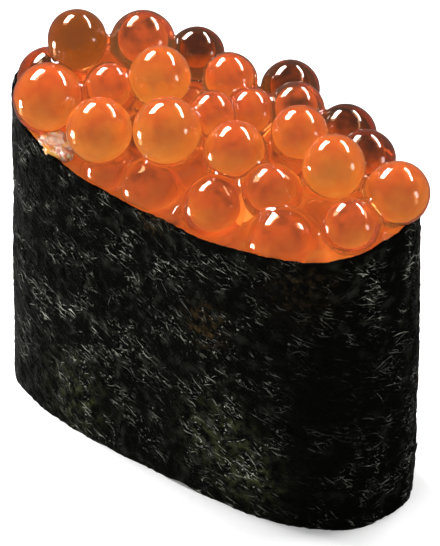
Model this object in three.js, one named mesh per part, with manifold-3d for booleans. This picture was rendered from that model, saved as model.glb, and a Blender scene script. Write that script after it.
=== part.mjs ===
// Gunkan sushi with salmon roe. A strip of roasted seaweed stands on its edge as a tall oval band, a block
// of vinegared rice fills its foot, and a heap of large wet roe pearls fills the rest and crowns over the rim.
//
// Millimetres. +X runs along the oval, +Y across it, +Z up. The sushi stands on z = 0.

import * as THREE from 'three';
import { mergeVertices } from 'three/addons/utils/BufferGeometryUtils.js';
import Module from 'manifold-3d';

const wasm = await Module();
wasm.setup();

// The seaweed band.
const HALF_LENGTH = 26.5; // outer, at the rim
const HALF_WIDTH = 12.3;
const OVAL_POWER = 2.66; // 2 would be an ellipse; more is squarer at the ends
const BOW = 1.0; // the long sides bend this far towards +Y at mid length
const BAND_HEIGHT = 34.5;
const BAND_WALL = 0.5;
const FOOT_LENGTHENS = 1.025; // the foot is a little longer than the rim, and a touch slimmer
const FOOT_NARROWS = 0.995;
const BAND_STATIONS = 80;
const BAND_ROWS = 2;

// The rim isn't level: it is high at the -X end and dips along both long sides.
const RIM_TILT = { along: -0.7, across: 0.4 };
const RIM_WAVE = { even: 1.55, skew: 1.05, triple: -0.6 };

// The strip's free end laps over its start on the +Y side, and stands proud by its own thickness.
const LAP_START = 1.42; // radians round the oval
const LAP_END = 1.98;
const LAP_RISE = 0.1; // radians over which the outer layer climbs onto the inner one
const LAP_STEP = 0.45;

// What fills the band.
const CLEARANCE = 0.3; // between neighbouring pieces
const FILLING_STATIONS = 48;
const RICE_TOP = 22;
const RICE_CORE_BOTTOM = 0.5;
const GRAIN = { halfLength: 3.6, halfWidth: 1.6, halfHeight: 1.2, centreHeight: 0.8 };
const GRAIN_COUNT = 42;
const GRAIN_YAW_STEP = 1.9; // radians from one grain to the next
const GOLDEN_TURN = Math.PI * (3 - Math.sqrt(5));

// The roe. Each pearl is [along, across, height over the band's nominal height, radius].
const PEARLS = {
  nearRim: [
    [-17.5, -7.25, 3.75, 4.0],
    [-7.25, -8.0, -1.75, 2.95],
    [-1.0, -7.75, -1.25, 3.65],
    [8.0, -7.75, 0.0, 3.4],
    [16.5, -6.25, -1.75, 3.85],
    [23.25, -3.25, 1.75, 3.05],
  ],
  nearSlope: [
    [-22.25, -2.5, 2.75, 3.6],
    [-8.0, -9.0, 4.0, 3.6],
    [0.0, -6.75, 6.0, 3.7],
    [6.75, -3.25, 4.5, 3.4],
    [12.5, -3.75, 2.0, 3.1],
    [24.25, 3.0, 3.5, 3.5],
  ],
  crown: [
    [-19.5, -0.75, 8.0, 3.3],
    [-12.25, -3.0, 5.25, 2.95],
    [-7.25, -0.25, 7.5, 3.4],
    [1.0, -0.75, 5.75, 2.8],
    [2.0, 4.25, 4.5, 2.9],
    [11.25, 2.0, 6.25, 3.1],
    [17.75, 0.25, 5.5, 3.4],
  ],
  farSlope: [
    [-14.25, 4.25, 7.5, 3.65],
    [-10.75, 9.25, 5.5, 3.1],
    [-2.75, 6.0, 6.25, 3.1],
    [1.25, 11.5, 4.5, 3.3],
    [5.75, 7.5, 5.0, 3.15],
    [11.5, 9.25, 3.5, 3.35],
    [17.0, 6.25, 3.75, 3.2],
  ],
};
const PEARL_ROUNDNESS = 2; // subdivisions of the 20-sided solid

// Pearls that show only in the gaps between those.
const DEEP_PEARLS = [
  [1.0, -4.25, 0.25, 2.9],
  [9.25, -3.75, -2.25, 2.7],
  [16.5, -0.5, -2.25, 2.9],
  [21.75, 4.25, -1.5, 2.6],
];
const DEEP_ROUNDNESS = 1;

// The rest of the heap: on each ring, outermost first, a pearl at the highest place where one fits.
const FILL_RINGS = [
  { inset: 3.8, count: 44, topLift: 0.9 },
  { inset: 5.8, count: 36, topLift: 1.8 },
  { inset: 7.8, count: 30, topLift: 2.8 },
  { inset: 9.8, count: 22, topLift: 3.4 },
  { inset: 11.4, count: 12, topLift: 3.6 },
];
const FILL_RADIUS = 3.1;
const FILL_RADIUS_SPREAD = 0.3;
const FILL_RIM_LIMIT = 1.0; // how much of a high rim the filling pearls climb
const FILL_STEP_DOWN = 0.4;
const FILL_TRIES = 14;
const FILL_CLOSENESS = 0.8; // share of two radii that may lie between two centres
const GOLDEN_SHARE = 0.618034;

// The jelly between the pearls: its skin meets the band just under the rim and domes below the pearls.
const JELLY_BOTTOM = RICE_TOP + CLEARANCE;
const JELLY_EDGE_DROP = 0.5;
const JELLY_DOME = 2.6;
const JELLY_ROWS = 3;

// A torn, crumpled roe skin that lies against the near side of the rim.
const TORN_SKIN = { along: -14.0, across: -9.0, lift: -0.25, size: [2.0, 1.1, 1.3] };

const COLOURS = { seaweed: '#10120f', rice: '#ece6d6', roe: '#c9561f' };

/** The rim's height at a turn round the oval, 0 at the +X end. */
function rimHeight(turn) {
  const tilt = RIM_TILT.along * Math.cos(turn) + RIM_TILT.across * Math.sin(turn);
  const wave = RIM_WAVE.even * Math.cos(2 * turn) + RIM_WAVE.skew * Math.sin(2 * turn);
  return BAND_HEIGHT + tilt + wave + RIM_WAVE.triple * Math.cos(3 * turn);
}

/** A point of the bowed oval: inset from the band's outer face, share 0 at its centre and 1 at its edge. */
function ovalPoint(turn, height, inset, share = 1) {
  const rise = THREE.MathUtils.clamp(height / BAND_HEIGHT, 0, 1);
  const halfLength = (HALF_LENGTH - inset) * THREE.MathUtils.lerp(FOOT_LENGTHENS, 1, rise);
  const halfWidth = (HALF_WIDTH - inset) * THREE.MathUtils.lerp(FOOT_NARROWS, 1, rise);
  const corner = 2 / OVAL_POWER;
  const x = share * halfLength * Math.sign(Math.cos(turn)) * Math.abs(Math.cos(turn)) ** corner;
  const y = share * halfWidth * Math.sign(Math.sin(turn)) * Math.abs(Math.sin(turn)) ** corner;
  return new THREE.Vector3(x, y + BOW * (1 - (x / halfLength) ** 2), height);
}

/** How much the lapped end thickens the band at a turn. */
function lapThickness(turn) {
  if (turn < LAP_START || turn > LAP_END) return 0;
  return LAP_STEP * THREE.MathUtils.smoothstep(turn, LAP_START, LAP_START + LAP_RISE);
}

/** The same geometry with position only and its shared vertices merged. */
function closed(geometry) {
  geometry.deleteAttribute('normal');
  geometry.deleteAttribute('uv');
  return mergeVertices(geometry);
}

/** Moves each vertex of a geometry to place(u, v), from its uv, and merges what then coincides. */
function reshape(geometry, place) {
  const { position, uv } = geometry.attributes;
  for (let i = 0; i < position.count; i += 1) {
    const point = place(uv.getX(i), uv.getY(i));
    position.setXYZ(i, point.x, point.y, point.z);
  }
  return closed(geometry);
}

/** A standing oval tube. Its section runs up the outer face and down the inner one. */
function ovalTube(outerInset, innerInset, bottom, rimLift) {
  const sectionSteps = 2 * (BAND_ROWS + 1);
  const grid = new THREE.TorusGeometry(1, 0.5, sectionSteps, BAND_STATIONS);
  return reshape(grid, (u, v) => {
    const turn = (u % 1) * 2 * Math.PI;
    const step = Math.round(v * sectionSteps) % sectionSteps;
    const isOuter = step <= BAND_ROWS;
    const share = (isOuter ? step : sectionSteps - 1 - step) / BAND_ROWS;
    const height = THREE.MathUtils.lerp(bottom, rimHeight(turn) + rimLift, share);
    return ovalPoint(turn, height, isOuter ? outerInset - lapThickness(turn) : innerInset);
  });
}

/** A solid oval filling, clear of the band. topAt(turn, share) gives its top, which has capRows rings. */
function ovalFilling(capRows, topAt, bottom) {
  const rows = 2 * capRows + 1;
  const inset = BAND_WALL + CLEARANCE;
  return reshape(new THREE.SphereGeometry(1, FILLING_STATIONS, rows), (u, v) => {
    const turn = ((u + 0.5) % 1) * 2 * Math.PI;
    const row = Math.round((1 - v) * rows);
    const share = Math.min(row, rows - row) / capRows;
    const height = row <= capRows ? topAt(turn, share) : bottom;
    return ovalPoint(turn, height, inset, share);
  });
}

/** A manifold solid from a closed geometry. */
function toSolid(geometry) {
  const vertProperties = Float32Array.from(geometry.attributes.position.array);
  const triVerts = Uint32Array.from(geometry.index.array);
  return new wasm.Manifold(new wasm.Mesh({ numProp: 3, vertProperties, triVerts }));
}

/** A geometry from a manifold solid. */
function toGeometry(solid) {
  const { vertProperties, triVerts } = solid.getMesh();
  const geometry = new THREE.BufferGeometry();
  geometry.setAttribute('position', new THREE.BufferAttribute(vertProperties, 3));
  geometry.setIndex(new THREE.BufferAttribute(triVerts, 1));
  return geometry;
}

/** The seaweed band, with its lapped end. */
function seaweedBand() {
  return ovalTube(0, BAND_WALL, 0, 0);
}

/** A low-sided grain of rice that reaches below z = 0, where the block is cut flat. */
function riceGrain(centre, yaw) {
  const grain = new THREE.SphereGeometry(1, 6, 4);
  grain.rotateZ(Math.PI / 2);
  grain.scale(GRAIN.halfLength, GRAIN.halfWidth, GRAIN.halfHeight);
  grain.rotateZ(yaw);
  grain.translate(centre.x, centre.y, centre.z);
  return toSolid(closed(grain));
}

/** The rice block, with the grains that show on its underside. */
function riceBlock() {
  let rice = toSolid(ovalFilling(1, () => RICE_TOP, RICE_CORE_BOTTOM));
  for (let i = 0; i < GRAIN_COUNT; i += 1) {
    const share = Math.sqrt(i / GRAIN_COUNT);
    const centre = ovalPoint(i * GOLDEN_TURN, GRAIN.centreHeight, BAND_WALL + GRAIN.halfWidth, share);
    rice = rice.add(riceGrain(centre, i * GRAIN_YAW_STEP));
  }
  const roomInBand = toSolid(ovalFilling(1, () => RICE_TOP, 0));
  return toGeometry(rice.intersect(roomInBand));
}

/** A pearl as a many-sided ball. */
function pearlSolid([along, across, lift, radius], roundness) {
  const ball = new THREE.IcosahedronGeometry(radius, roundness);
  ball.translate(along, across, BAND_HEIGHT + lift);
  return toSolid(closed(ball));
}

/** Whether a pearl lies no closer to each of the others than soft pearls do. */
function fits([x, y, lift, radius], others) {
  return others.every(([x2, y2, lift2, radius2]) => (
    Math.hypot(x - x2, y - y2, lift - lift2) >= FILL_CLOSENESS * (radius + radius2)
  ));
}

/** The pearls that fill the heap out under and behind the laid ones. */
function fillingPearls(laid) {
  const filling = [];
  for (const { inset, count, topLift } of FILL_RINGS) {
    for (let i = 0; i < count; i += 1) {
      const turn = (i / count) * 2 * Math.PI;
      const rimLift = Math.min(rimHeight(turn) - BAND_HEIGHT, FILL_RIM_LIMIT);
      const spread = ((filling.length + 1) * GOLDEN_SHARE) % 1;
      const radius = FILL_RADIUS + FILL_RADIUS_SPREAD * (2 * spread - 1);
      const place = ovalPoint(turn, BAND_HEIGHT, inset);
      for (let attempt = 0; attempt < FILL_TRIES; attempt += 1) {
        const pearl = [place.x, place.y, rimLift + topLift - attempt * FILL_STEP_DOWN, radius];
        if (fits(pearl, [...laid, ...filling])) {
          filling.push(pearl);
          break;
        }
      }
    }
  }
  return filling;
}

/** The height of the jelly's top at a turn, share 0 in the middle and 1 at the band. */
function jellyTop(turn, share) {
  const middle = 1 - share ** 2;
  return rimHeight(turn) * share ** 2 + (BAND_HEIGHT + JELLY_DOME) * middle - JELLY_EDGE_DROP;
}

/** The roe heap: jelly, pearls and the torn skin, cut clear of the band. */
function roeHeap() {
  const shown = Object.values(PEARLS).flat();
  const hidden = [...DEEP_PEARLS, ...fillingPearls([...shown, ...DEEP_PEARLS])];
  let heap = toSolid(ovalFilling(JELLY_ROWS, jellyTop, JELLY_BOTTOM));
  for (const pearl of shown) heap = heap.add(pearlSolid(pearl, PEARL_ROUNDNESS));
  for (const pearl of hidden) heap = heap.add(pearlSolid(pearl, DEEP_ROUNDNESS));
  const skin = new THREE.DodecahedronGeometry(1, 0);
  skin.scale(...TORN_SKIN.size);
  skin.translate(TORN_SKIN.along, TORN_SKIN.across, BAND_HEIGHT + TORN_SKIN.lift);
  heap = heap.add(toSolid(closed(skin)));
  const bandWithRoom = toSolid(ovalTube(-CLEARANCE, BAND_WALL + CLEARANCE, RICE_TOP, CLEARANCE));
  return toGeometry(heap.subtract(bandWithRoom));
}

/** A named mesh with its own material. */
function namedMesh(name, geometry, color, roughness) {
  const material = new THREE.MeshStandardMaterial({ color, roughness, metalness: 0 });
  const mesh = new THREE.Mesh(geometry, material);
  mesh.name = name;
  return mesh;
}

const gunkan = new THREE.Group();
gunkan.add(namedMesh('nori_band', seaweedBand(), COLOURS.seaweed, 0.5));
gunkan.add(namedMesh('rice_base', riceBlock(), COLOURS.rice, 0.6));
gunkan.add(namedMesh('roe_heap', roeHeap(), COLOURS.roe, 0.12));

// The origin is below the middle of the whole sushi's box.
const middle = new THREE.Box3().setFromObject(gunkan).getCenter(new THREE.Vector3());
gunkan.position.set(-middle.x, -middle.y, 0);

export default gunkan;
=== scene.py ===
"""Gunkan sushi with salmon roe: a crinkled seaweed band, pressed rice, wet translucent pearls and a stage.

Blender units are metres, +Z up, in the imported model's frame. The sushi's own plan is in millimetres round the
middle of the oval band, and to_frame turns a plan point into a frame point.
"""

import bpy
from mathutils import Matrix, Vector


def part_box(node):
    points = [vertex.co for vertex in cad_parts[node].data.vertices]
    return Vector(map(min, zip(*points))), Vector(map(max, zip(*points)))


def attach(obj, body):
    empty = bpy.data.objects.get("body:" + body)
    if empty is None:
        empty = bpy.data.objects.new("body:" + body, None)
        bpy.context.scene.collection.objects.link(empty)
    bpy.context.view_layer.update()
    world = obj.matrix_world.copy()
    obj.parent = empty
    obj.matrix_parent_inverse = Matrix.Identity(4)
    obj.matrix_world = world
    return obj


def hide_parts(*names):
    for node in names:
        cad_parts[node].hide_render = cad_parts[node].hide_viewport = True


bl_info = {
    "name": "Gunkan Sushi",
    "version": (1, 0, 0),
    "blender": (4, 5, 0),
    "location": "View3D > Sidebar > Gunkan",
    "description": "Makes a seaweed-wrapped sushi heaped with salmon roe",
    "category": "Add Mesh",
}

import math

import bmesh
import bpy
import numpy as np
import openvdb
from bpy.props import FloatProperty, FloatVectorProperty, IntProperty, PointerProperty
from mathutils import Vector, noise

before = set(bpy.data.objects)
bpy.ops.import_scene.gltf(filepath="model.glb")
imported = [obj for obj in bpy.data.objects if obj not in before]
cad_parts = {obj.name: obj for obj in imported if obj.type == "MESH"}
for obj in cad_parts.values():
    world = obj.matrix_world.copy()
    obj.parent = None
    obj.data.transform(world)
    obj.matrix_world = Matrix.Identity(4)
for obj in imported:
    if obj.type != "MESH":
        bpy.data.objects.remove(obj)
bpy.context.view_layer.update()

MM = 0.001
BODY = "root"
TAU = 2 * math.pi
# Without a seed, noise_vector starts from the clock and differs on every run.
NOISE_SEED = 5

# The oval band, in millimetres.
HALF_LENGTH = 26.5
HALF_WIDTH = 12.3
OVAL_POWER = 2.66
BOW = 1.0
BAND_HEIGHT = 34.5
BAND_WALL = 0.5
FOOT_LENGTHENS = 1.025
FOOT_NARROWS = 0.995
RIM_TILT = {"along": -0.7, "across": 0.4}
RIM_WAVE = {"even": 1.55, "skew": 1.05, "triple": -0.6}
LAP_START = 1.42
LAP_END = 1.98
LAP_RISE = 0.1
LAP_STEP = 0.45
FOOT_NICK = {"turn": 4.85, "reach": 0.05, "rise": 0.45}
FOOT_TUCK = {"height": 13.0, "depth": 0.5}

# The seaweed's relief, in millimetres: how far apart its waves are along the strip and up it, and where
# in the noise they are read.
FOLD_WAVES = (7.0, 30.0, 3.0)
SAG_WAVES = (11.0, 9.0, 8.0)
CRINKLE_WARP = {"size": 3.0, "reach": 0.7}
CRINKLE_OCTAVES = 3
EDGE_WAVES = {"fine": 0.7, "coarse": 4.5, "fine_share": 0.5}

# Where more or fewer glints of light are painted on the seaweed, and grey patches with them: turn, height,
# reach in millimetres, strength.
PAINTED_GLINT_BASE = 0.45
PAINTED_GLINT_SPOTS = [
    (4.32, 12.0, 5.0, 0.4),
    (4.61, 13.0, 5.0, 0.3),
    (4.77, 26.5, 4.0, 0.3),
    (5.03, 8.0, 3.0, 1.5),
    (5.24, 6.0, 2.5, 1.0),
    (5.10, 14.5, 3.0, 0.6),
    (6.10, 29.5, 3.0, 0.4),
    (5.70, 16.5, 9.0, -0.45),
    (5.50, 3.5, 5.0, -0.4),
    (5.50, 29.0, 5.0, -0.3),
]
# Olive patches of the seaweed: turn, height, reach in millimetres, strength.
OLIVE_SPOTS = [(4.42, 5.0, 5.0, 0.7), (5.03, 8.0, 5.0, 0.8), (5.24, 5.0, 4.0, 0.6), (1.2, 14.0, 6.0, 0.6)]
# Brown patches: those just under the rim are the roe's reddish reflection painted on the sheet, the others
# brown tone; turn, height, reach in millimetres, strength.
BROWN_AND_REFLECTION_SPOTS = [
    (5.55, 30.5, 5.0, 0.3),
    (4.98, 22.0, 2.5, 0.9),
    (4.75, 32.5, 2.0, 0.9),
    (2.4, 20.0, 5.0, 0.4),
]

# The streaks in the sheet: lean, length and width in millimetres, and where in the noise a streak starts.
STREAKS = [(0.25, 3.2, 0.24, 0.6), (0.75, 2.6, 0.22, 0.62), (-0.3, 2.8, 0.22, 0.64)]
STREAK_WANDER = 0.3
STREAK_FADE = 0.14

# The raised strands: their bend, the spread of their sizes, and how far they keep from the sheet's cut edges.
STRAND_BEND = 0.6
STRAND_SIZES = (0.35, 1.3)
STRAND_TIP = 0.1
STRAND_EDGE_GAP = 1.7

# The rice under the roe, in millimetres.
RICE_TOP = 22.0
RICE_FLOOR = 1.4
RICE_GAP = 0.1
GRAIN_GAP = 0.6
GRAIN_RING_STEP = 2.3
GRAIN_SIZES = (0.85, 1.1)
GRAIN_PRESSED_TO = 0.02
# The spacing of a ring's grains, in half lengths of a grain, and how far they lean at most, as an angle.
GRAIN_EDGE_RING = (1.7, 0.3)
GRAIN_INNER_RINGS = (1.0, 2.4)

# How dark a pearl is, from pale amber at 0 to nearly maroon at 1. A lit one below 0 is painted pale, with a
# painted glow where light would gather, and a smoky one is brown instead of red.
AMBER, ORANGE, RED, DEEP, DARK = 0.1, 0.28, 0.48, 0.7, 0.9
LIT = -0.8
SMOKY = 2.2
# The laid pearls: along, across, height over the band's nominal height, radius, darkness.
PEARLS = {
    "near_rim": [
        (-17.5, -7.25, 3.75, 4.0, ORANGE),
        (-7.25, -8.0, -1.75, 2.95, RED),
        (-1.0, -7.75, -1.25, 3.65, RED),
        (8.0, -7.75, 0.0, 3.4, RED),
        (16.5, -6.25, -1.75, 3.85, RED),
        (23.25, -3.25, 1.75, 3.05, RED),
    ],
    "near_slope": [
        (-22.25, -2.5, 2.75, 3.6, DARK),
        (-8.0, -9.0, 4.0, 3.6, AMBER),
        (0.0, -6.75, 6.0, 3.7, AMBER),
        (6.75, -3.25, 4.5, 3.4, ORANGE),
        (12.5, -3.75, 2.0, 3.1, RED),
        (24.25, 3.0, 3.5, 3.5, ORANGE),
    ],
    "crown": [
        (-19.5, -0.75, 8.0, 3.3, SMOKY),
        (-12.25, -3.0, 5.25, 2.95, RED),
        (-7.25, -0.25, 7.5, 3.4, AMBER),
        (1.0, -0.75, 5.75, 2.8, RED),
        (2.0, 4.25, 4.5, 2.9, RED),
        (11.25, 2.0, 6.25, 3.1, ORANGE),
        (17.75, 0.25, 5.5, 3.4, AMBER),
    ],
    # The far pearls' dark values are partly their own deeper colour and partly painted shade on the far side.
    "far_slope": [
        (-14.25, 4.25, 7.5, 3.65, DEEP),
        (-10.75, 9.25, 5.5, 3.1, DARK),
        (-2.75, 6.0, 6.25, 3.1, RED),
        (1.25, 11.5, 4.5, 3.3, DARK),
        (5.75, 7.5, 5.0, 3.15, DEEP),
        (11.5, 9.25, 3.5, 3.35, DARK),
        (17.0, 6.25, 3.75, 3.2, DARK),
    ],
    "in_the_gaps": [
        (1.0, -4.25, 0.25, 2.9, RED),
        (9.25, -3.75, -2.25, 2.7, LIT),
        (16.5, -0.5, -2.25, 2.9, ORANGE),
        (21.75, 4.25, -1.5, 2.6, ORANGE),
    ],
}

# The pearls that fill the heap out: inset from the band, count on the ring, highest lift.
FILL_RINGS = [(3.8, 44, 0.9), (5.8, 36, 1.8), (7.8, 30, 2.8), (9.8, 22, 3.4), (11.4, 12, 3.6)]
FILL_RADIUS = 3.1
FILL_RADIUS_SPREAD = 0.3
FILL_RIM_LIMIT = 1.0
FILL_STEP_DOWN = 0.4
FILL_TRIES = 14
FILL_CLOSENESS = 0.8
GOLDEN_SHARE = 0.618034
PEARL_INSET = 0.7
PEARL_LUMP_SIZE = 1 / 0.19

# The wet film's field, in millimetres.
FILM_FLOOR = 26.0
FILM_CELL = 0.28
FILM_INSET = 0.32
FILM_SINK = 0.3
FILM_COAT = 0.05
FILM_WET_LOW, FILM_WET_HIGH = 1.2, -0.7
FILM_WET_LIFT = 4.0
FILM_WET_SPAN = 0.8
FILM_EDGE = 0.35
FILM_RIM_DROP = 0.8
FILM_MENISCUS = 0.1
FILM_MENISCUS_POWER = 10
FILM_DOME = 1.0
FILM_COVERS = 0.5
FILM_DARKNESS = 0.4
FILM_OWN_WEIGHT = 0.4
FILM_BLUSH_REACH = 0.8
FILM_BLUSH_DEPTH = 0.3
# How far a pearl's pull on the film is read, and how deep the field is told apart, in blends.
PULL_REACH = 8
DEEPEST_READ = 20

# The deeper roe under the liquid, in millimetres under its level.
BED_INSET = 0.6
BED_RIM_DROP = 0.3
BED_DROP = 1.6
BED_FLOOR = FILM_FLOOR + 0.3

# The drop in a pearl's heart, as shares of its radius.
YOLK_WIDEST = 0.80
YOLK_NARROWS = 0.35
YOLK_FLOATS = 0.2

# How the roe is shaded: what the inputs of the group "Roe Colour" are given. Rise paints the roe darker above
# and paler below, as painted shade, and the Light values set its painted glow below and above, and in a lit
# pearl.
CLEAR_SHADING = {"Rise": 0.3, "Clouds": 0.4}
YOLK_SHADING = {
    "Rise": 0.3,
    "Clouds": 1.3,
    "Cloud Size": 2.0,
    "Light Below": 0.68,
    "Light Above": 0.42,
    "Light Gathered": 0.4,
}
BED_SHADING = {"Rise": 0.3, "Clouds": 1.2, "Cloud Size": 2.0}
# The share of its own colour that clear jelly takes, and how far it bends light.
PEARL_BLUSH, FILM_BLUSH, DARK_BLUSH = 0.3, 0.5, 0.7
PEARL_IOR, FILM_IOR = 1.25, 1.12

TORN_SKIN = {"along": -14.2, "across": -9.2, "lift": -0.1, "size": (3.0, 1.5, 1.8)}
TORN_SKIN_WARP = {"turns": 1.7, "reach": 0.6}
TORN_SKIN_CRUMPLES = {"turns": 1.5, "octaves": 4, "least": 0.62, "reach": 0.3}


# ---------------------------------------------------------------- the band's and the heap's plan


def rim_height(turn):
    """The rim's height in millimetres at a turn round the oval, or at an array of turns, 0 at the +X end."""
    tilt = RIM_TILT["along"] * np.cos(turn) + RIM_TILT["across"] * np.sin(turn)
    wave = RIM_WAVE["even"] * np.cos(2 * turn) + RIM_WAVE["skew"] * np.sin(2 * turn)
    return BAND_HEIGHT + tilt + wave + RIM_WAVE["triple"] * np.cos(3 * turn)


def signed_power(value, power):
    """value to a power, keeping its sign."""
    return math.copysign(abs(value) ** power, value)


def oval_point(turn, height, inset=0.0, share=1.0):
    """A plan point of the bowed oval, inset from the band's outer face."""
    rise = min(max(height / BAND_HEIGHT, 0.0), 1.0)
    half_length = (HALF_LENGTH - inset) * (FOOT_LENGTHENS + (1 - FOOT_LENGTHENS) * rise)
    half_width = (HALF_WIDTH - inset) * (FOOT_NARROWS + (1 - FOOT_NARROWS) * rise)
    x = share * half_length * signed_power(math.cos(turn), 2 / OVAL_POWER)
    y = share * half_width * signed_power(math.sin(turn), 2 / OVAL_POWER)
    return Vector((x, y + BOW * (1 - (x / half_length) ** 2), height))


def oval_outward(turn, height):
    """The level direction that points out of the band at a turn."""
    step = 0.002
    along = oval_point(turn + step, height) - oval_point(turn - step, height)
    return Vector((along.y, -along.x, 0.0)).normalized()


def oval_share(x, y, inset):
    """How far out arrays of plan places lie, 1 on the inset oval, and their turns."""
    half_length, half_width = HALF_LENGTH - inset, HALF_WIDTH - inset
    across = y - BOW * (1 - (x / half_length) ** 2)
    far_along = np.abs(x / half_length) ** (OVAL_POWER / 2)
    far_across = np.abs(across / half_width) ** (OVAL_POWER / 2)
    turn = np.arctan2(np.copysign(far_across, across), np.copysign(far_along, x))
    return np.hypot(far_along, far_across) ** (2 / OVAL_POWER), turn


def plan_origin():
    """Where the middle of the oval's plan lies in the frame, in metres."""
    low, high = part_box("nori_band")
    near_turn = 0.75 * TAU
    near_side = oval_point(near_turn, rim_height(near_turn)).y * MM
    return Vector(((low.x + high.x) / 2, low.y - near_side, 0.0))


PLAN_ORIGIN = plan_origin()


def to_frame(point):
    """A plan point in millimetres as a frame point in metres."""
    return Vector(point) * MM + PLAN_ORIGIN


def laid_pearls():
    """The laid pearls, as listed."""
    return [pearl for row in PEARLS.values() for pearl in row]


def filling_pearls():
    """The pearls that fill the heap, each at the highest place on its ring where it fits."""
    have = laid_pearls()
    filling = []
    for inset, count, top_lift in FILL_RINGS:
        for i in range(count):
            turn = i / count * TAU
            rim_lift = min(rim_height(turn) - BAND_HEIGHT, FILL_RIM_LIMIT)
            spread = (len(filling) + 1) * GOLDEN_SHARE % 1
            radius = FILL_RADIUS + FILL_RADIUS_SPREAD * (2 * spread - 1)
            place = oval_point(turn, BAND_HEIGHT, inset)
            for attempt in range(FILL_TRIES):
                spot = (place.x, place.y, rim_lift + top_lift - attempt * FILL_STEP_DOWN)
                if all(math.dist(spot, p[:3]) >= FILL_CLOSENESS * (radius + p[3]) for p in have):
                    filling.append((*spot, radius, ORANGE + (DARK - ORANGE) * spread))
                    have.append(filling[-1])
                    break
    return filling


def pool_height(share, turn):
    """The liquid's level in millimetres, from the rim to its dome over the middle, for arrays."""
    inner = 1 - np.clip(share, 0, 1) ** 2
    meniscus = FILM_MENISCUS * (1 - np.clip(share, 0, 1) ** FILM_MENISCUS_POWER)
    return rim_height(turn) * (1 - inner) + (BAND_HEIGHT + FILM_DOME) * inner + meniscus - FILM_RIM_DROP


def rising_pearls(pearls):
    """Those that rise out of the liquid."""
    rising = []
    for pearl in pearls:
        x, y, lift, radius, _ = pearl
        level = pool_height(*oval_share(np.float64(x), np.float64(y), FILM_INSET))
        if BAND_HEIGHT + lift + radius > level + FILM_COVERS:
            rising.append(pearl)
    return rising


# ---------------------------------------------------------------- meshes and objects


def new_object(name, mesh):
    """An object at the origin that shows a mesh."""
    piece = bpy.data.objects.new(name, mesh)
    bpy.context.scene.collection.objects.link(piece)
    return piece


def new_piece(name, vertices, faces):
    """A smooth-shaded object from frame points in metres."""
    mesh = bpy.data.meshes.new(name)
    mesh.from_pydata([tuple(v) for v in vertices], [], [tuple(f) for f in faces])
    mesh.shade_smooth()
    return new_object(name, mesh)


def plan_places(piece):
    """A piece's points as an array of plan millimetres."""
    flat = np.zeros(3 * len(piece.data.vertices), dtype=np.float32)
    piece.data.vertices.foreach_get("co", flat)
    return (flat.reshape(-1, 3) - np.array(PLAN_ORIGIN)) / MM


def set_values(piece, name, values):
    """Stores one number for each point of a piece."""
    attribute = piece.data.attributes.new(name, "FLOAT", "POINT")
    attribute.data.foreach_set("value", np.asarray(values, dtype=np.float32))


def ridges(place, octaves):
    """How high the sharp ridges of a crumpled skin are at a place in the noise."""
    dimension, lacunarity, offset, gain = 1.0, 2.1, 0.9, 2.0
    return noise.ridged_multi_fractal(place, dimension, lacunarity, octaves, offset, gain)


def run_tree(host, tree, values, name):
    """The plain mesh object that a Geometry Nodes tree makes of host, which is then removed."""
    modifier = host.modifiers.new(tree.name, "NODES")
    modifier.node_group = tree
    for label, value in values.items():
        modifier[tree.interface.items_tree[label].identifier] = value
    evaluated = host.evaluated_get(bpy.context.evaluated_depsgraph_get())
    mesh = bpy.data.meshes.new_from_object(evaluated)
    host.modifiers.remove(modifier)
    bpy.data.objects.remove(host)
    mesh.name = name
    mesh.shade_smooth()
    return new_object(name, mesh)


def dress(piece, node, material=None):
    """Gives a piece its material if one is given, ties it to the body, and hides the CAD node that it stands
    for.
    """
    if material is not None:
        piece.data.materials.clear()
        piece.data.materials.append(material)
    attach(piece, BODY)
    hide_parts(node)


# ---------------------------------------------------------------- nodes


def fill(tree, node, inputs):
    """Gives each of a node's inputs a value, or a link from a socket."""
    for key, value in inputs.items():
        if isinstance(value, bpy.types.NodeSocket):
            tree.links.new(value, node.inputs[key])
        else:
            node.inputs[key].default_value = value


def add(tree, kind, inputs=None, **settings):
    """Adds a node with its settings, and fills its inputs."""
    node = tree.nodes.new(kind)
    for key, value in settings.items():
        setattr(node, key, value)
    fill(tree, node, inputs or {})
    return node


def maths(tree, operation, *values):
    """The result of a Math node."""
    return add(tree, "ShaderNodeMath", dict(enumerate(values)), operation=operation).outputs[0]


def vectors(tree, operation, inputs):
    """The result of a Vector Math node that gives a vector."""
    return add(tree, "ShaderNodeVectorMath", inputs, operation=operation).outputs[0]


def mix_colours(tree, factor, first, second):
    """The result of a Mix node between two colours, which are its inputs 6 and 7."""
    return add(tree, "ShaderNodeMix", {0: factor, 6: first, 7: second}, data_type="RGBA").outputs[2]


def fade(tree, value, start, end, low=0.0, high=1.0):
    """A smooth step of value from start to end."""
    bounds = {"Value": value, "From Min": start, "From Max": end, "To Min": low, "To Max": high}
    return add(tree, "ShaderNodeMapRange", bounds, interpolation_type="SMOOTHSTEP").outputs["Result"]


def noise_at(tree, vector, scale, detail, roughness=0.5):
    """The outputs of a Noise Texture."""
    inputs = {"Vector": vector, "Scale": scale, "Detail": detail, "Roughness": roughness}
    return add(tree, "ShaderNodeTexNoise", inputs).outputs


def shaded_value(tree, name):
    """A number that the shaded piece's points carry."""
    return add(tree, "ShaderNodeAttribute", attribute_name=name).outputs["Fac"]


def object_place(tree):
    """The shaded place in the object's own coordinates."""
    return add(tree, "ShaderNodeTexCoord").outputs["Object"]


def opaque(values):
    """A colour property as a node colour."""
    return (*values[:3], 1.0)


SOCKET_KINDS = {int: "Int", float: "Float", tuple: "Color"}


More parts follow.
